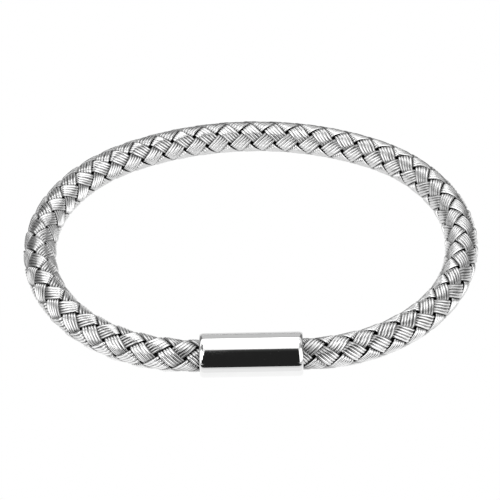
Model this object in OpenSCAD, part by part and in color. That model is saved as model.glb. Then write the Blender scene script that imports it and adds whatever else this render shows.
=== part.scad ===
// Braided wire cord bracelet, closed by a straight polished sleeve, lying on a flat surface.
// Millimetres, +Z up. The origin is the middle of the footprint, on the surface.
// The clasp lies at the front, towards -Y, and its length runs along X.

/* [Cord] */
// Outside diameter of the braided cord
cord_d = 5; // [4:0.5:7]
// Thickness of the braid, which is two layers of wire
braid_wall = 0.9; // [0.6:0.1:1.1]
// Gap all round between the braid and the core inside it
core_gap = 0.1; // [0.05:0.05:0.3]

/* [Loop] */
// Half of the straight stretch that runs through the clasp
straight_half = 8; // [7.5:0.5:12]
// Centreline radius of the arc round each side of the wrist
side_r = 24; // [20:0.5:28]
// Centreline radius of the flatter arc at the back
back_r = 41; // [41:0.5:60]

/* [Clasp] */
// Length of the sleeve over both cord ends
sleeve_l = 15; // [12:0.5:15]
// Wall of the sleeve
sleeve_wall = 0.65; // [0.6:0.05:1.2]
// Gap all round between the sleeve and what is inside it
sleeve_gap = 0.1; // [0.05:0.05:0.2]
// Radius of the rounded outer edge at each end of the sleeve
sleeve_edge = 0.45; // [0.2:0.05:0.45]
// Bevel inside each mouth of the sleeve
mouth_bevel = 0.1; // [0.05:0.05:0.1]
// Length of the plug hidden in the middle of the sleeve
plug_l = 5; // [3:0.5:6]
// Gap between the plug and each cord end
plug_gap = 0.1; // [0.05:0.05:0.3]

/* [Hidden] */
$fn = 72;

cord_r = cord_d / 2;
core_r = cord_r - braid_wall - core_gap;
bore_r = cord_r + sleeve_gap;
sleeve_r = bore_r + sleeve_wall;
cord_start = plug_l / 2 + plug_gap;

// The side and back arcs meet in line, so their centres lie on one line through the place where they meet.
// The wedges that end the arcs are cut along that line, out to a point far outside the loop.
centres_y = sqrt((back_r - side_r) ^ 2 - straight_half ^ 2);
side_centre = [straight_half, side_r];
back_centre = [0, side_r - centres_y];
loop_depth = back_centre.y + back_r;
far_x = 200;
far_y = far_x * centres_y / straight_half;

// The sleeve is thicker than the cord, so the loop lies a little higher at the clasp than at the back.
tilt = asin((sleeve_r - cord_r) / loop_depth);
middle_y = (loop_depth * cos(tilt) + cord_r - sleeve_r) / 2;

// A straight stretch along X, from x = start to x = end, of the section that is given.
module straight(start, end)
    translate([start, 0, 0]) rotate([90, 0, 90]) linear_extrude(end - start) children();

// The part of a ring about centre that lies inside a wedge with its point there, of the section that is given.
module arc(centre, radius, wedge)
    translate(centre) intersection() {
        rotate_extrude() translate([radius, 0]) children();
        linear_extrude(2 * cord_d, center = true) polygon(wedge);
    }

// The whole loop, from one side of the plug round the wrist to the other, of the section that is given.
module round_the_loop() {
    for (side = [0, 1]) mirror([side, 0, 0]) {
        straight(cord_start, straight_half) children();
        arc(side_centre, side_r, [[0, 0], [0, -far_x], [far_x, -far_x], [far_x, far_y]]) children();
    }
    arc(back_centre, back_r, [[0, 0], [far_x, far_y], [-far_x, far_y]]) children();
}

// Lays the loop down so that the sleeve and the back of the cord both touch the surface.
module lie_down()
    translate([0, -middle_y, sleeve_r]) rotate([-tilt, 0, 0]) children();

// Half the sleeve's wall in section, with radius across and length upwards.
module sleeve_wall_half() {
    mouth = sleeve_l / 2;
    difference() {
        translate([bore_r, 0]) square([sleeve_wall, mouth]);
        translate([sleeve_r - sleeve_edge, mouth - sleeve_edge]) difference() {
            square(2 * sleeve_edge);
            circle(sleeve_edge);
        }
        translate([bore_r, mouth]) rotate(45) square(sqrt(2) * mouth_bevel, center = true);
    }
}

// Braid of flat wire ribbons, as the tube that they fill.
module wire_braid()
    color("silver") lie_down() round_the_loop() difference() {
        circle(cord_r);
        circle(cord_r - braid_wall);
    }

// Dark round core that keeps the braid round.
module cord_core()
    color("dimgray") lie_down() round_the_loop() circle(core_r);

// Polished sleeve over both cord ends.
module clasp_sleeve()
    color("gainsboro") lie_down() rotate([0, 90, 0]) rotate_extrude() {
        sleeve_wall_half();
        mirror([0, 1]) sleeve_wall_half();
    }

// Plain plug in the middle of the sleeve, between the cord ends.
module clasp_plug()
    color("gray") lie_down() translate([-plug_l / 2, 0, 0]) rotate([0, 90, 0]) cylinder(h = plug_l, r = cord_r);

wire_braid();
cord_core();
clasp_sleeve();
clasp_plug();
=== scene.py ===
"""Looks of a braided wire bracelet with a polished sleeve clasp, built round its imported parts."""

import logging
import math
from dataclasses import dataclass, field
from enum import Enum
from typing import TypeAlias

import bmesh
import bpy
import numpy as np
from mathutils import Matrix, Quaternion, Vector
from mathutils.kdtree import KDTree


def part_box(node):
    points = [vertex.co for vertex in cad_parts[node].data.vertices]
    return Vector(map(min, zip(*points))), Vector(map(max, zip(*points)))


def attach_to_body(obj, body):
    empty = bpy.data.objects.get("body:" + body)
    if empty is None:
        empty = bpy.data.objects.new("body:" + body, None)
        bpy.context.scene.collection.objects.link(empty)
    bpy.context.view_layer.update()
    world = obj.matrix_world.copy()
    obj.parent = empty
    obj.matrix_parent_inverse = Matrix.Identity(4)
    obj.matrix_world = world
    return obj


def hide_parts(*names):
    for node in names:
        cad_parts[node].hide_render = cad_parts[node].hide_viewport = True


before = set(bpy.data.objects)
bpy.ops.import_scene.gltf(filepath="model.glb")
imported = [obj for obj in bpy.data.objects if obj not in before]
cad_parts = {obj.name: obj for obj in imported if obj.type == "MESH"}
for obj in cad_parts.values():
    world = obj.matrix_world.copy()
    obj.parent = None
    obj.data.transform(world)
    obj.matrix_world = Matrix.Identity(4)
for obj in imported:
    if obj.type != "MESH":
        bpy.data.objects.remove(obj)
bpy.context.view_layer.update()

log = logging.getLogger("bracelet")

MM = 0.001
# Points closer together than this are merged.
MERGE = 0.001 * MM
BODY = "root"
# The attribute of the wires that says how high they lie, which sets their painted shade.
HEIGHT = "height"

Operand: TypeAlias = "Value | float"
Colour: TypeAlias = "Value | tuple[float, float, float, float]"
# Positions and greys of a ramp, in order.
Stops: TypeAlias = tuple[tuple[float, float], ...]


class Value:
    """An output of a node that takes part in Python expressions: each operator adds a Math node."""

    def __init__(self, graph: "Graph", socket: bpy.types.NodeSocket) -> None:
        """Keeps the graph and the socket."""
        self.graph = graph
        self.socket = socket

    def combine(self, operation: str, first: Operand, second: Operand) -> "Value":
        """Adds a Math node of that operation on two numbers or links, and gives its output."""
        return self.graph.node("ShaderNodeMath", {"operation": operation}, {0: first, 1: second})

    def __add__(self, other: Operand) -> "Value":
        """Adds."""
        return self.combine("ADD", self, other)

    def __radd__(self, other: Operand) -> "Value":
        """Adds, with the number first."""
        return self.combine("ADD", other, self)

    def __sub__(self, other: Operand) -> "Value":
        """Subtracts."""
        return self.combine("SUBTRACT", self, other)

    def __rsub__(self, other: Operand) -> "Value":
        """Subtracts, with the number first."""
        return self.combine("SUBTRACT", other, self)

    def __mul__(self, other: Operand) -> "Value":
        """Multiplies."""
        return self.combine("MULTIPLY", self, other)

    def __rmul__(self, other: Operand) -> "Value":
        """Multiplies, with the number first."""
        return self.combine("MULTIPLY", other, self)


class Graph:
    """The shader nodes of one material."""

    def __init__(self, name: str) -> None:
        """Starts an empty material.

        Args:
            name: The material's name.
        """
        self.material = bpy.data.materials.new(name)
        self.material.use_nodes = True
        self.material.node_tree.nodes.clear()

    def node(
        self,
        kind: str,
        settings: dict[str, object] | None = None,
        inputs: dict[str | int, object] | None = None,
        output: str | int = 0,
    ) -> Value:
        """Adds any node.

        Args:
            kind: The node's type.
            settings: Properties of the node, set first; "stops" are a ramp's positions and greys.
            inputs: What each socket gets, by name or number: a value, or a link to another node.
            output: The output that is wanted, by name or number.

        Returns:
            That output.
        """
        made = self.material.node_tree.nodes.new(kind)
        for name, setting in (settings or {}).items():
            if name == "stops":
                self._set_stops(made, setting)
            else:
                setattr(made, name, setting)
        for name, value in (inputs or {}).items():
            if isinstance(value, Value):
                self.material.node_tree.links.new(value.socket, made.inputs[name])
            else:
                made.inputs[name].default_value = value
        return Value(self, made.outputs[output] if made.outputs else None)

    def _set_stops(self, ramp: bpy.types.Node, stops: Stops) -> None:
        """Gives a colour ramp its stops.

        Args:
            ramp: The colour ramp node.
            stops: A position and a grey for each stop, in order.
        """
        elements = ramp.color_ramp.elements
        while len(elements) < len(stops):
            elements.new(1.0)
        for element, (position, level) in zip(elements, stops):
            element.position = position
            element.color = grey(level)

    def ramp(self, value: Value, stops: Stops) -> Value:
        """Maps a value through a colour ramp's positions and greys, which are given in order."""
        return self.node("ShaderNodeValToRGB", {"stops": stops}, {"Fac": value})

    def blend(self, value: Value, spread: tuple[float, float], ends: tuple[float, float]) -> Value:
        """Maps a value from one grey to another, between the two values that spread gives."""
        return self.ramp(value, tuple(zip(spread, ends)))

    def object_noise(self, size: float, detail: float = 2.0) -> Value:
        """Soft noise over the piece's own coordinates.

        Args:
            size: How large its patches are, in metres.
            detail: How many finer layers it has.

        Returns:
            A value about 0.5.
        """
        place = self.node("ShaderNodeTexCoord", output="Object")
        return self.node(
            "ShaderNodeTexNoise", {}, {"Vector": place, "Scale": 1 / size, "Detail": detail}, output="Fac"
        )

    def streaks(self, coordinates: Value, stretch: tuple[float, float, float]) -> Value:
        """Noise drawn out along one direction.

        Args:
            coordinates: The coordinates that it follows.
            stretch: How many patches it has for each unit of the three coordinates.

        Returns:
            A value about 0.5.
        """
        place = self.node("ShaderNodeMapping", {}, {"Vector": coordinates, "Scale": stretch})
        return self.node(
            "ShaderNodeTexNoise", {}, {"Vector": place, "Scale": 1.0, "Detail": 2.0}, output="Fac"
        )

    def mix(self, factor: Operand, first: Colour, second: Colour) -> Value:
        """Blends two colours, from the first at factor 0 to the second at 1."""
        # The node has sockets of the same names for numbers and vectors, so those for colours go by number.
        return self.node("ShaderNodeMix", {"data_type": "RGBA"}, {0: factor, 6: first, 7: second}, output=2)

    def bump(self, height: Value, depth: float) -> Value:
        """Gives the normal of a bump whose height, from 0 to 1, is worth that depth in metres."""
        return self.node("ShaderNodeBump", {}, {"Height": height, "Distance": depth, "Strength": 1.0})

    def surface(self, inputs: dict[str, object]) -> bpy.types.Material:
        """Ends the material in a principled surface.

        Args:
            inputs: What each of the surface's sockets gets.

        Returns:
            The material.
        """
        shader = self.node("ShaderNodeBsdfPrincipled", {}, inputs)
        self.node("ShaderNodeOutputMaterial", {}, {"Surface": shader})
        return self.material


def grey(level: float) -> tuple[float, float, float, float]:
    """A grey of that linear level."""
    return (level, level, level, 1.0)


@dataclass(frozen=True)
class DrawnWire:
    """Bright drawn steel wire: fine lines along it, patches of duller steel, and painted shade that darkens
    it the deeper it lies.

    The painted shades are how bright the painted shade leaves it at each height, which is 0 by the core and 1
    at the highest crowns.
    The pattern of lines is how many patches it has along the whole wire, round it and through it.
    """

    bright: float = 0.96
    dull: float = 0.8
    painted_shades: Stops = ((0.4, 0.16), (0.76, 0.38), (0.92, 1.0))
    smooth: float = 0.1
    rough: float = 0.2
    line_pattern: tuple[float, float, float] = (16.0, 60.0, 1.0)
    line_depth: float = 0.002 * MM
    patch_size: float = 1.6 * MM
    patch_share: float = 0.6
    spread: tuple[float, float] = (0.35, 0.65)

    def material(self) -> bpy.types.Material:
        """Makes the finish.

        Returns:
            The material.
        """
        graph = Graph("drawn_wire")
        along = graph.node("ShaderNodeUVMap", {"uv_map": "UVMap"})
        lines = graph.streaks(along, self.line_pattern)
        patches = graph.object_noise(self.patch_size)
        height = graph.node("ShaderNodeAttribute", {"attribute_name": HEIGHT}, output="Fac")
        wear = lines + (patches - lines) * self.patch_share
        steel = graph.mix(graph.blend(wear, self.spread, (0.0, 1.0)), grey(self.dull), grey(self.bright))
        # Painted shade: the steel's colour is darkened by the wire's height, standing in for the shade in the
        # grooves and under the crossing ribbons.
        return graph.surface(
            {
                "Base Color": graph.mix(graph.ramp(height, self.painted_shades), grey(0.0), steel),
                "Metallic": 1.0,
                "Roughness": graph.blend(patches, self.spread, (self.smooth, self.rough)),
                "Normal": graph.bump(lines, self.line_depth),
            }
        )


@dataclass(frozen=True)
class MirrorPolish:
    """Mirror polished steel with the faintest smudges and polishing lines.

    The pattern of lines is how many patches it has to a metre along the sleeve and across it.
    """

    level: float = 0.88
    smudge_level: float = 0.84
    clean: float = 0.03
    smudged: float = 0.07
    smudge_size: float = 2.5 * MM
    spread: tuple[float, float] = (0.4, 0.7)
    line_pattern: tuple[float, float, float] = (300.0, 9000.0, 9000.0)
    line_depth: float = 0.0004 * MM

    def material(self) -> bpy.types.Material:
        """Makes the finish.

        Returns:
            The material.
        """
        graph = Graph("mirror_polish")
        place = graph.node("ShaderNodeTexCoord", output="Object")
        lines = graph.streaks(place, self.line_pattern)
        smudges = graph.object_noise(self.smudge_size, detail=3.0)
        return graph.surface(
            {
                "Base Color": graph.mix(smudges, grey(self.level), grey(self.smudge_level)),
                "Metallic": 1.0,
                "Roughness": graph.blend(smudges, self.spread, (self.clean, self.smudged)),
                "Normal": graph.bump(lines, self.line_depth),
            }
        )


@dataclass(frozen=True)
class TurnedSteel:
    """Plain turned steel, with rings of fine tool marks about its axis, which runs along X."""

    level: float = 0.55
    groove_level: float = 0.44
    smooth: float = 0.3
    rough: float = 0.45
    spread: tuple[float, float] = (0.3, 0.7)
    ring_spacing: float = 0.08 * MM
    ring_width: float = 25 * MM
    ring_depth: float = 0.006 * MM

    def material(self) -> bpy.types.Material:
        """Makes the finish.

        Returns:
            The material.
        """
        graph = Graph("turned_steel")
        place = graph.node("ShaderNodeTexCoord", output="Object")
        rings = graph.streaks(place, (1 / self.ring_spacing, 1 / self.ring_width, 1 / self.ring_width))
        return graph.surface(
            {
                "Base Color": graph.mix(rings, grey(self.level), grey(self.groove_level)),
                "Metallic": 1.0,
                "Roughness": graph.blend(rings, self.spread, (self.smooth, self.rough)),
                "Normal": graph.bump(rings, self.ring_depth),
            }
        )


@dataclass(frozen=True)
class BlackRubber:
    """Matt black rubber with a fine grain."""

    level: float = 0.012
    grain_level: float = 0.024
    smooth: float = 0.75
    rough: float = 0.95
    spread: tuple[float, float] = (0.3, 0.7)
    grain_size: float = 0.15 * MM
    grain_depth: float = 0.02 * MM

    def material(self) -> bpy.types.Material:
        """Makes the finish.

        Returns:
            The material.
        """
        graph = Graph("black_rubber")
        grains = graph.object_noise(self.grain_size, detail=3.0)
        return graph.surface(
            {
                "Base Color": graph.mix(grains, grey(self.level), grey(self.grain_level)),
                "Roughness": graph.blend(grains, self.spread, (self.smooth, self.rough)),
                "Normal": graph.bump(grains, self.grain_depth),
            }
        )


@dataclass(frozen=True)
class EvenGlow:
    """A surface of the studio that shines evenly."""

    name: str
    level: float

    def material(self) -> bpy.types.Material:
        """Makes the finish.

        Returns:
            The material.
        """
        return Graph(self.name).surface(
            {
                "Base Color": grey(0.0),
                "Roughness": 1.0,
                "Specular IOR Level": 0.0,
                "Emission Color": grey(1.0),
                "Emission Strength": self.level,
            }
        )


@dataclass(frozen=True)
class Stretch:
    """One straight or curved stretch of the loop, seen from above."""

    start: float
    length: float
    curvature: float
    x: float
    y: float
    heading: float

    def reach(self, along: np.ndarray) -> tuple[np.ndarray, np.ndarray, np.ndarray]:
        """Points of the stretch.

        Args:
            along: Distances along the whole loop.

        Returns:
            The x, y and heading of each point.
        """
        travel = along - self.start
        heading = self.heading + travel * self.curvature
        if self.curvature == 0:
            return self.x + travel * math.cos(self.heading), self.y + travel * math.sin(self.heading), heading
        x = self.x + (np.sin(heading) - math.sin(self.heading)) / self.curvature
        y = self.y + (math.cos(self.heading) - np.cos(heading)) / self.curvature
        return x, y, heading


@dataclass
class Loop:
    """Centreline of the cord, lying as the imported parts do.

    A distance along it starts at the clasp's middle and runs towards +X and round the wrist.
    An angle about it is 0 on the outside of the loop and a quarter turn on top.
    """

    straight_half: float = 8 * MM
    side_radius: float = 24 * MM
    back_radius: float = 41 * MM
    cord_radius: float = 2.5 * MM
    # Points from which distances to the centreline are measured.
    samples: int = 2000
    stretches: list[Stretch] = field(init=False)
    length: float = field(init=False)
    laid: Matrix = field(init=False)

    def __post_init__(self) -> None:
        """Works out the stretches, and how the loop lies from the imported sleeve's box."""
        back_half_turn = math.asin(self.straight_half / (self.back_radius - self.side_radius))
        end = (self.straight_half, 0.0)
        side = (self.side_radius * (math.pi - back_half_turn), 1 / self.side_radius)
        back = (2 * self.back_radius * back_half_turn, 1 / self.back_radius)
        self.stretches = []
        start, x, y, heading = 0.0, 0.0, 0.0, 0.0
        for length, curvature in (end, side, back, side, end):
            stretch = Stretch(start, length, curvature, float(x), float(y), float(heading))
            self.stretches.append(stretch)
            start += length
            x, y, heading = stretch.reach(start)
        self.length = start
        # The sleeve is thicker than the cord, so the loop lies a little higher at the clasp than at the back.
        low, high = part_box("clasp_sleeve")
        axis = (low + high) / 2
        depth = self.plan(np.array([self.length / 2]))[1][0]
        tilt = math.asin((axis.z - low.z - self.cord_radius) / depth)
        self.laid = Matrix.Translation((0, axis.y, axis.z)) @ Matrix.Rotation(-tilt, 4, "X")

    def plan(self, along: np.ndarray) -> tuple[np.ndarray, np.ndarray, np.ndarray]:
        """The centreline seen from above, before it is laid down.

        Args:
            along: Distances along the loop.

        Returns:
            The x, y and heading at each distance.
        """
        found = np.zeros((3, len(along)))
        for stretch in self.stretches:
            here = (along >= stretch.start) & (along <= stretch.start + stretch.length)
            found[:, here] = stretch.reach(along[here])
        return found[0], found[1], found[2]

    def place(self, along: np.ndarray, angle: np.ndarray, radius: np.ndarray) -> np.ndarray:
        """Points about the centreline.

        Args:
            along: Distances along the loop.
            angle: Angles about the cord.
            radius: Distances from the centreline.

        Returns:
            One row of x, y and z for each point.
        """
        x, y, heading = self.plan(along)
        outward = radius * np.cos(angle)
        flat = np.column_stack(
            [x + outward * np.sin(heading), y - outward * np.cos(heading), radius * np.sin(angle)]
        )
        return flat @ np.array(self.laid.to_3x3()).T + np.array(self.laid.translation)

    def radii(self, mesh: bpy.types.Mesh) -> np.ndarray:
        """How far each vertex of a mesh is from the centreline.

        Args:
            mesh: The mesh.

        Returns:
            A distance for each vertex.
        """
        along = np.linspace(0, self.length, self.samples, endpoint=False)
        centreline = KDTree(len(along))
        for index, point in enumerate(self.place(along, np.zeros_like(along), np.zeros_like(along))):
            centreline.insert(point, index)
        centreline.balance()
        return np.array([centreline.find(vertex.co)[2] for vertex in mesh.vertices], np.float32)


class Way(Enum):
    """Which way a ribbon turns about the cord as it runs along it, with the sign of its angle."""

    RISING = 1
    FALLING = -1


@dataclass
class WireBraid:
    """The braid: flat ribbons of parallel wires, as many each way, woven over one and under one.

    A float is where a ribbon lies on top. A pitch is the length of cord from one float to the ribbon's next.
    Where a wire rises and dives is given in ribbons crossed, counted from the middle of its float.
    """

    loop: Loop
    ribbons_each_way: int = 4
    wires_per_ribbon: int = 5
    wire_diameter: float = 0.46 * MM
    # From wire to wire, as a share of the way from ribbon to ribbon.
    wire_step: float = 0.163
    # How far from the centreline a wire's middle is on top, and how much deeper it goes underneath.
    top_radius: float = 2.16 * MM
    dip: float = 0.52 * MM
    # Across a float, one edge lies this much higher than its middle, and the other as much lower.
    shingle: float = 0.04 * MM
    # Along a float, its ends lie this much lower than its middle.
    arch: float = 0.05 * MM
    # A float comes up gently and dives steeply, with a small lip just before the dive.
    rise_at: float = -0.66
    rise_width: float = 0.16
    dive_at: float = 0.53
    dive_width: float = 0.06
    lip: float = 0.12 * MM
    lip_width: float = 0.4
    # Between these distances the falling floats change over from a steep far end to a steep near end.
    turnover: tuple[float, float] = (105 * MM, 155 * MM)
    # The wires' heights, which set their painted shade, are 0 at the first of these radii and 1 at the
    # second.
    core_radius: float = 1.5 * MM
    crown_radius: float = 2.46 * MM
    # The ribbons start and end this far from the clasp's middle, inside the sleeve.
    hidden_start: float = 2.6 * MM
    # The cord is squeezed by this share at the sleeve's mouths, and less further away from them.
    mouth: float = 7.5 * MM
    squeeze: float = 0.06
    squeeze_reach: float = 3 * MM
    # Each wire wavers a little, across its ribbon as a share of the way from ribbon to ribbon, and in height.
    drift_across: float = 0.012
    drift_up: float = 0.012 * MM
    drift_waves: tuple[float, ...] = (2.3 * MM, 4.1 * MM, 7.9 * MM, 17 * MM)
    drift_swing: float = 0.5
    seed: int = 7
    rings_per_pitch: int = 24
    sides: int = 8
    # Distance along the loop in millimetres, pitches passed there, and angle of a row of rising floats.
    marks: tuple[tuple[float, float, float], ...] = (
        (0.0, -4.5, 80.0),
        (10.8, -1.5, 76.0),
        (14.4, -0.53, 79.0),
        (33.4, 4.47, 82.0),
        (44.0, 7.17, 74.0),
        (53.0, 9.47, 70.0),
        (65.0, 12.6, 69.0),
        (80.0, 16.54, 72.0),
        (91.1, 19.42, 79.0),
        (110.0, 24.46, 77.0),
        (122.0, 27.64, 82.0),
        (133.0, 30.5, 67.0),
        (148.4, 34.5, 77.0),
        (157.0, 36.7, 84.0),
        (168.0, 39.5, 84.0),
        (174.0, 41.0, 77.0),
        (183.5, 43.5, 77.0),
    )

    def build(self, finish: DrawnWire) -> list[bpy.types.Object]:
        """Builds all ribbons and dresses them.

        Args:
            finish: The finish of the wires.

        Returns:
            The ribbons.
        """
        material = finish.material()
        chance = np.random.default_rng(self.seed)
        made = []
        for way in Way:
            for index in range(self.ribbons_each_way):
                ribbon = self._ribbon(way, index, chance)
                ribbon.data.materials.append(material)
                made.append(ribbon)
        return made

    def _ribbon(self, way: Way, index: int, chance: np.random.Generator) -> bpy.types.Object:
        """Builds one ribbon.

        Args:
            way: Which way it turns.
            index: Its number among the ribbons that turn that way.
            chance: The source of unevenness.

        Returns:
            The ribbon's mesh object.
        """
        name = f"ribbon_{way.name.lower()}_{index + 1}"
        curve = bpy.data.curves.new(name, "CURVE")
        curve.dimensions = "3D"
        curve.bevel_depth = self.wire_diameter / 2
        # A bevelled curve has four sides, and two more for each step of resolution.
        curve.bevel_resolution = (self.sides - 4) // 2
        curve.use_fill_caps = True
        for wire in range(self.wires_per_ribbon):
            points = self._wire(way, index, wire - (self.wires_per_ribbon - 1) / 2, chance)
            spline = curve.splines.new("POLY")
            spline.points.add(len(points) - 1)
            spline.points.foreach_set("co", np.column_stack([points, np.ones(len(points))]).ravel())
        made = bpy.data.objects.new(name, solid_mesh(name, curve))
        bpy.context.scene.collection.objects.link(made)
        # Each vertex's height, which sets the painted shade of the wires.
        heights = (self.loop.radii(made.data) - self.core_radius) / (self.crown_radius - self.core_radius)
        made.data.attributes.new(HEIGHT, "FLOAT", "POINT").data.foreach_set("value", heights)
        return made

    def _wire(self, way: Way, index: int, place: float, chance: np.random.Generator) -> np.ndarray:
        """Works out the route of one wire.

        Args:
            way: Which way its ribbon turns.
            index: The ribbon's number.
            place: Where the wire lies across the ribbon, in wires from its middle.
            chance: The source of unevenness.

        Returns:
            The points of the route.
        """
        span = self.loop.length - 2 * self.hidden_start
        distances, pitches, angles = np.array(self.marks).T
        rings = round(self.rings_per_pitch * np.interp(span / MM, distances, pitches - pitches[0]))
        along = np.linspace(self.hidden_start, self.loop.length - self.hidden_start, rings)
        passed = np.interp(along, distances * MM, pitches)

        # Its place among the ribbons of its own way and of the other, which gives how many it has crossed.
        own = index + place * self.wire_step + self.drift_across * self._drift(along, chance)
        other = own + way.value * 2 * passed
        crossed = way.value * (other + index) + (way is Way.FALLING)

        # Its height: on a float, under one, or on the way between, with its ribbon's wires in steps.
        turned = np.interp(along, self.turnover, (0, 1)) * (way is Way.FALLING)
        lift = (1 - turned) * self._lift(crossed) + turned * self._lift(-crossed)
        side = way.value * 2 * place / (self.wires_per_ribbon - 1)
        radius = self.top_radius - self.dip * (1 - lift) + self.shingle * side * lift
        radius = radius + self.drift_up * self._drift(along, chance)
        beyond = np.minimum(along, self.loop.length - along) - self.mouth
        radius = radius * (1 - self.squeeze * np.exp(-((np.maximum(beyond, 0) / self.squeeze_reach) ** 2)))

        # Its angle: the row of rising floats, and a turn about the cord for each round of ribbons.
        angle = np.interp(along, distances * MM, np.radians(angles))
        angle = angle + math.tau / self.ribbons_each_way * (own + way.value * passed)
        return self.loop.place(along, angle, radius)

    def _lift(self, crossed: np.ndarray) -> np.ndarray:
        """How high a wire lies: it comes up gently from under one ribbon and dives steeply under the next.

        Args:
            crossed: Ribbons crossed, even in the middle of each float.

        Returns:
            0 where the wire is under the others, to about 1 where it is on top.
        """
        from_middle = crossed - 2 * np.round(crossed / 2)
        lift = np.zeros_like(from_middle)
        # The floats before and after this one reach a little into its span.
        for period in (-2, 0, 2):
            lift += np.tanh((from_middle - self.rise_at - period) / self.rise_width) / 2
            lift -= np.tanh((from_middle - self.dive_at - period) / self.dive_width) / 2
        lip = np.exp(-(((from_middle - self.dive_at + self.lip_width / 2) / self.lip_width) ** 2))
        return lift * (1 + (self.lip * lip - self.arch * from_middle**2 / self.dive_at**2) / self.dip)

    def _drift(self, along: np.ndarray, chance: np.random.Generator) -> np.ndarray:
        """Slow unevenness along one wire.

        Args:
            along: Distances along the loop.
            chance: The source of its phases.

        Returns:
            A value within about 1 of nought at each distance.
        """
        drift = np.zeros_like(along)
        for wave in self.drift_waves:
            drift += self.drift_swing * np.sin(math.tau * along / wave + chance.uniform(0, math.tau))
        return drift


def solid_mesh(name: str, curve: bpy.types.Curve) -> bpy.types.Mesh:
    """Makes a mesh of a bevelled curve.

    Args:
        name: The mesh's name.
        curve: The curve, which is removed.

    Returns:
        The mesh.
    """
    holder = bpy.data.objects.new(name, curve)
    bpy.context.scene.collection.objects.link(holder)
    shaped = holder.evaluated_get(bpy.context.evaluated_depsgraph_get())
    mesh = bpy.data.meshes.new_from_object(shaped)
    bpy.data.objects.remove(holder)
    bpy.data.curves.remove(curve)
    mesh.name = name
    shape = bmesh.new()
    shape.from_mesh(mesh)
    bmesh.ops.remove_doubles(shape, verts=shape.verts, dist=MERGE)
    bmesh.ops.recalc_face_normals(shape, faces=shape.faces)
    shape.to_mesh(mesh)
    shape.free()
    return mesh


@dataclass
class PolishedSleeve:
    """The clasp's sleeve: a short tube with rounded ends and a small bevel inside each mouth.

    The rounded edges are drawn out to edge_length along the sleeve.
    A ring of points support_reach further in keeps the wall between them straight.
    """

    loop: Loop
    length: float = 15 * MM
    outer_radius: float = 3.25 * MM
    bore_radius: float = 2.6 * MM
    edge_radius: float = 0.3 * MM
    edge_length: float = 0.7 * MM
    edge_segments: int = 12
    support_reach: float = 0.15 * MM
    mouth_bevel: float = 0.1 * MM
    bevel_segments: int = 2
    sharp_degrees: float = 30
    steps: int = 128

    def build(self, finish: MirrorPolish) -> bpy.types.Object:
        """Builds the sleeve and dresses it.

        Args:
            finish: The finish of the sleeve.

        Returns:
            The sleeve.
        """
        shape = bmesh.new()
        self._section(shape)
        bmesh.ops.spin(
            shape,
            geom=shape.verts[:] + shape.edges[:],
            cent=(0, 0, 0),
            axis=(1, 0, 0),
            angle=math.tau,
            steps=self.steps,
            use_merge=True,
        )
        bmesh.ops.remove_doubles(shape, verts=shape.verts, dist=MERGE)
        bmesh.ops.recalc_face_normals(shape, faces=shape.faces)
        bmesh.ops.transform(shape, matrix=self.loop.laid, verts=shape.verts)
        for face in shape.faces:
            face.smooth = True
        mesh = bpy.data.meshes.new("polished_sleeve")
        shape.to_mesh(mesh)
        shape.free()
        mesh.set_sharp_from_angle(angle=math.radians(self.sharp_degrees))
        mesh.materials.append(finish.material())
        made = bpy.data.objects.new("polished_sleeve", mesh)
        bpy.context.scene.collection.objects.link(made)
        return made

    def _section(self, shape: bmesh.types.BMesh) -> None:
        """Draws the wall's section, a rectangle above the axis with its corners rounded and bevelled.

        Args:
            shape: The mesh that gets the section.
        """
        half = self.length / 2
        bore, outside = self.bore_radius, self.outer_radius
        corners = ((half, bore), (half, outside), (-half, outside), (-half, bore))
        verts = [shape.verts.new((x, 0, z)) for x, z in corners]
        for first, second in zip(verts, verts[1:] + verts[:1]):
            shape.edges.new((first, second))
        for ends, reach, segments in (
            (verts[1:3], self.edge_radius, self.edge_segments),
            (verts[0::3], self.mouth_bevel, self.bevel_segments),
        ):
            bmesh.ops.bevel(
                shape,
                geom=ends,
                offset=reach,
                offset_type="OFFSET",
                segments=segments,
                profile=0.5,
                affect="VERTICES",
                material=-1,
            )
        for side in (-1, 1):
            edge = [vert for vert in shape.verts if side * vert.co.x > half - self.edge_radius - MERGE]
            rounded = [vert for vert in edge if vert.co.z > outside - self.edge_radius - MERGE]
            bmesh.ops.scale(
                shape,
                vec=(self.edge_length / self.edge_radius, 1, 1),
                space=Matrix.Translation((-side * half, 0, 0)),
                verts=rounded,
            )
            bmesh.ops.bisect_plane(
                shape,
                geom=shape.verts[:] + shape.edges[:],
                plane_co=(side * (half - self.edge_length - self.support_reach), 0, 0),
                plane_no=(1, 0, 0),
            )


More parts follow.
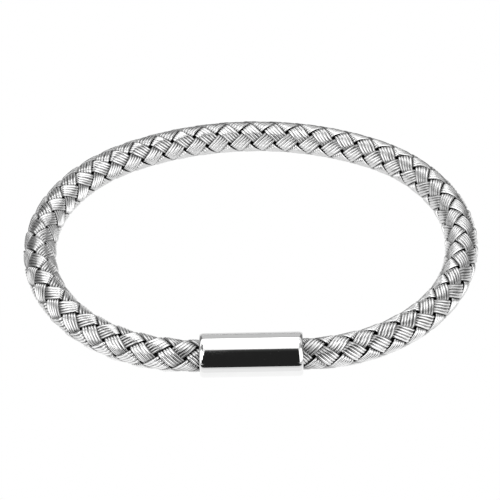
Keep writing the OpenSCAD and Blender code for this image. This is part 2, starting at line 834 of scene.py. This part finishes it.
@dataclass(frozen=True)
class Panel:
    """Part of the light tent, which only reflections see: the span it covers in degrees and its level.

    Azimuths are 0 at the bracelet's right, 90 behind it, 180 at its left and 270 in front of it.
    """

    name: str
    azimuths: tuple[float, float]
    elevations: tuple[float, float]
    level: float
    radius: float = 2900 * MM
    step: float = 3

    def build(self) -> None:
        """Builds the panel: a point is turned up into an arc, and the arc round the bracelet."""
        start, end = (math.radians(azimuth) for azimuth in self.azimuths)
        foot, head = (math.radians(elevation) for elevation in self.elevations)
        shape = bmesh.new()
        shape.verts.new((self.radius * math.cos(foot), 0, self.radius * math.sin(foot)))
        self._turn(shape, (0, -1, 0), head - foot)
        self._turn(shape, (0, 0, 1), end - start)
        bmesh.ops.rotate(shape, verts=shape.verts, matrix=Matrix.Rotation(start, 3, "Z"))
        bmesh.ops.remove_doubles(shape, verts=shape.verts, dist=MM)
        only_reflected(staged(shape, EvenGlow(self.name, self.level)))

    def _turn(self, shape: bmesh.types.BMesh, axis: tuple[float, float, float], angle: float) -> None:
        """Turns all there is of the panel about the middle of the tent, sweeping out the next of it.

        Args:
            shape: The panel so far.
            axis: The axis of the turn.
            angle: How far it turns.
        """
        bmesh.ops.spin(
            shape,
            geom=shape.verts[:] + shape.edges[:],
            cent=(0, 0, 0),
            axis=axis,
            angle=angle,
            steps=math.ceil(math.degrees(angle) / self.step),
            use_merge=angle == math.tau,
        )


@dataclass(frozen=True)
class FloorCard:
    """A card flat on the floor, which only reflections see: its spans in millimetres and its level."""

    name: str
    across: tuple[float, float]
    away: tuple[float, float]
    level: float

    def build(self) -> None:
        """Builds the card: a square of a millimetre, scaled and moved to its spans."""
        shape = bmesh.new()
        bmesh.ops.create_grid(shape, x_segments=1, y_segments=1, size=MM / 2)
        size = (self.across[1] - self.across[0], self.away[1] - self.away[0], 1)
        middle = Vector((sum(self.across), sum(self.away), 0)) * MM / 2
        bmesh.ops.scale(shape, vec=size, verts=shape.verts)
        bmesh.ops.translate(shape, vec=middle, verts=shape.verts)
        only_reflected(staged(shape, EvenGlow(self.name, self.level)))


def only_reflected(piece: bpy.types.Object) -> None:
    """Hides a piece of the studio from the camera and lets light through it."""
    piece.visible_camera = False
    piece.visible_shadow = False


def staged(shape: bmesh.types.BMesh, finish: EvenGlow) -> bpy.types.Object:
    """Puts a piece of the studio in the scene.

    Args:
        shape: Its shape, which is used up.
        finish: Its finish, which also has its name.

    Returns:
        The piece.
    """
    mesh = bpy.data.meshes.new(finish.name)
    shape.to_mesh(mesh)
    shape.free()
    mesh.materials.append(finish.material())
    made = bpy.data.objects.new(finish.name, mesh)
    bpy.context.scene.collection.objects.link(made)
    return made


@dataclass
class Studio:
    """A pale floor, a light tent with a dark opening in front, and the camera.

    The camera's elevation, azimuth and roll are in degrees, and its lens is in millimetres.
    """

    elevation: float = 42.62
    azimuth: float = 0.75
    distance: float = 411 * MM
    lens: float = 194.4
    roll: float = -1.58
    aim: tuple[float, float, float] = (-0.10 * MM, -0.59 * MM, 1.82 * MM)
    floor_half: float = 3000 * MM
    pale: float = 1.0
    dark: float = 0.018

    def build(self) -> None:
        """Builds the whole studio."""
        self._floor()
        self._room()
        for part in (*self._tent(), *self._floor_cards()):
            part.build()
        self._camera()
        bpy.context.scene.view_settings.view_transform = "Standard"

    def _floor(self) -> None:
        """Lays the floor, which shines so that it stays pale and even."""
        shape = bmesh.new()
        bmesh.ops.create_grid(shape, x_segments=1, y_segments=1, size=self.floor_half)
        staged(shape, EvenGlow("floor", self.pale)).visible_glossy = False

    def _room(self) -> None:
        """Makes the room beyond the floor just as pale."""
        world = bpy.data.worlds.new("room")
        world.use_nodes = True
        world.node_tree.nodes["Background"].inputs["Color"].default_value = grey(self.pale)
        bpy.context.scene.world = world

    def _tent(self) -> list[Panel]:
        """Lists the panels of the tent.

        Returns:
            The panels.
        """
        return [
            Panel("tent_right", (-15, 15), (0, 60), 0.25),
            Panel("tent_back_right_foot", (15, 75), (0, 35), 0.2),
            Panel("tent_back_right", (15, 75), (35, 60), 0.85),
            Panel("tent_back_foot", (75, 105), (0, 35), 0.6),
            Panel("tent_back_edge", (75, 105), (35, 38), 0.3),
            Panel("tent_back", (75, 105), (38, 60), 1.55),
            Panel("tent_back_left_foot", (105, 165), (0, 35), 0.2),
            Panel("tent_back_left", (105, 165), (35, 60), 1.25),
            Panel("tent_left", (165, 195), (0, 60), 0.55),
            Panel("tent_front_left_foot", (195, 235), (0, 20), 1.8),
            Panel("tent_front_left", (195, 250), (20, 45), 1.8),
            Panel("tent_front_left_head", (195, 262), (45, 60), 1.7),
            Panel("tent_opening_foot", (235, 285), (0, 20), self.dark),
            Panel("tent_opening", (250, 285), (20, 45), self.dark),
            Panel("tent_opening_middle", (262, 285), (45, 60), self.dark),
            Panel("tent_opening_head", (264, 282), (60, 67), 0.03),
            Panel("tent_opening_edge", (264, 282), (67, 73), 0.09),
            Panel("tent_front_right_foot", (285, 345), (0, 15), 1.5),
            Panel("tent_front_right", (285, 345), (15, 60), 1.8),
            Panel("roof_left", (135, 225), (60, 78), 0.15),
            Panel("roof_front_left", (225, 264), (60, 78), 1.0),
            Panel("roof_front", (264, 282), (73, 78), 1.2),
            Panel("roof_front_right", (282, 315), (60, 78), 1.0),
            Panel("roof_right", (-45, 45), (60, 78), 0.5),
            Panel("roof_back", (45, 135), (60, 78), 1.8),
            Panel("roof", (0, 360), (78, 90), 1.2),
        ]

    def _floor_cards(self) -> list[FloorCard]:
        """Lists the cards on the floor.

        Returns:
            The cards.
        """
        far = self.floor_half / MM
        return [
            FloorCard("card_under", (-40, far), (-20, 35), 0.78),
            FloorCard("card_left", (-far, -40), (-38, 35), 0.2),
            FloorCard("card_clasp", (-40, far), (-30, -20), 1.05),
            FloorCard("card_clasp_front", (-40, far), (-34, -30), 0.93),
            FloorCard("card_clasp_edge", (-40, far), (-38, -34), 0.78),
            FloorCard("card_front", (-100, 45), (-far, -120), self.dark),
            FloorCard("card_front_near", (-25, 16), (-120, -38), self.dark),
            FloorCard("card_near_left", (-far, -25), (-120, -38), 0.8),
            FloorCard("card_near_right", (16, 45), (-120, -38), 0.6),
            FloorCard("card_far_left", (-far, -100), (-far, -120), 0.6),
            FloorCard("card_front_right", (45, far), (-far, -38), 0.55),
            FloorCard("card_back", (-far, far), (35, far), 0.1),
        ]

    def _camera(self) -> None:
        """Sets up the camera."""
        camera = bpy.data.cameras.new("camera")
        camera.lens = self.lens
        tilt = math.radians(self.elevation)
        turned = math.radians(self.azimuth)
        level = math.cos(tilt)
        back = Vector((math.sin(turned) * level, -math.cos(turned) * level, math.sin(tilt)))
        made = bpy.data.objects.new("camera", camera)
        made.location = Vector(self.aim) + back * self.distance
        made.rotation_mode = "QUATERNION"
        turn = Quaternion((0, 0, 1), math.radians(self.roll))
        made.rotation_quaternion = (-back).to_track_quat("-Z", "Y") @ turn
        bpy.context.scene.collection.objects.link(made)
        bpy.context.scene.camera = made


def attach(piece: bpy.types.Object, node: str) -> None:
    """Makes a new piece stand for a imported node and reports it.

    Args:
        piece: The new piece.
        node: The node that it stands for.
    """
    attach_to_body(piece, BODY)
    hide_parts(node)
    log.info("%s stands for %s, with %d faces", piece.name, node, len(piece.data.polygons))


def dress(node: str, material: bpy.types.Material) -> None:
    """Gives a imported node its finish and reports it.

    Args:
        node: The node's name.
        material: Its finish.
    """
    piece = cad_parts[node]
    piece.data.materials.clear()
    piece.data.materials.append(material)
    log.info("%s keeps its shape and is finished in %s", node, material.name)


def main() -> None:
    """Builds the bracelet and the studio, in order."""
    logging.basicConfig(level=logging.INFO, format="%(name)s: %(message)s")
    Studio().build()
    loop = Loop()
    for ribbon in WireBraid(loop).build(DrawnWire()):
        attach(ribbon, "wire_braid")
    attach(PolishedSleeve(loop).build(MirrorPolish()), "clasp_sleeve")
    dress("cord_core", BlackRubber().material())
    dress("clasp_plug", TurnedSteel().material())


if __name__ == "__main__":
    main()
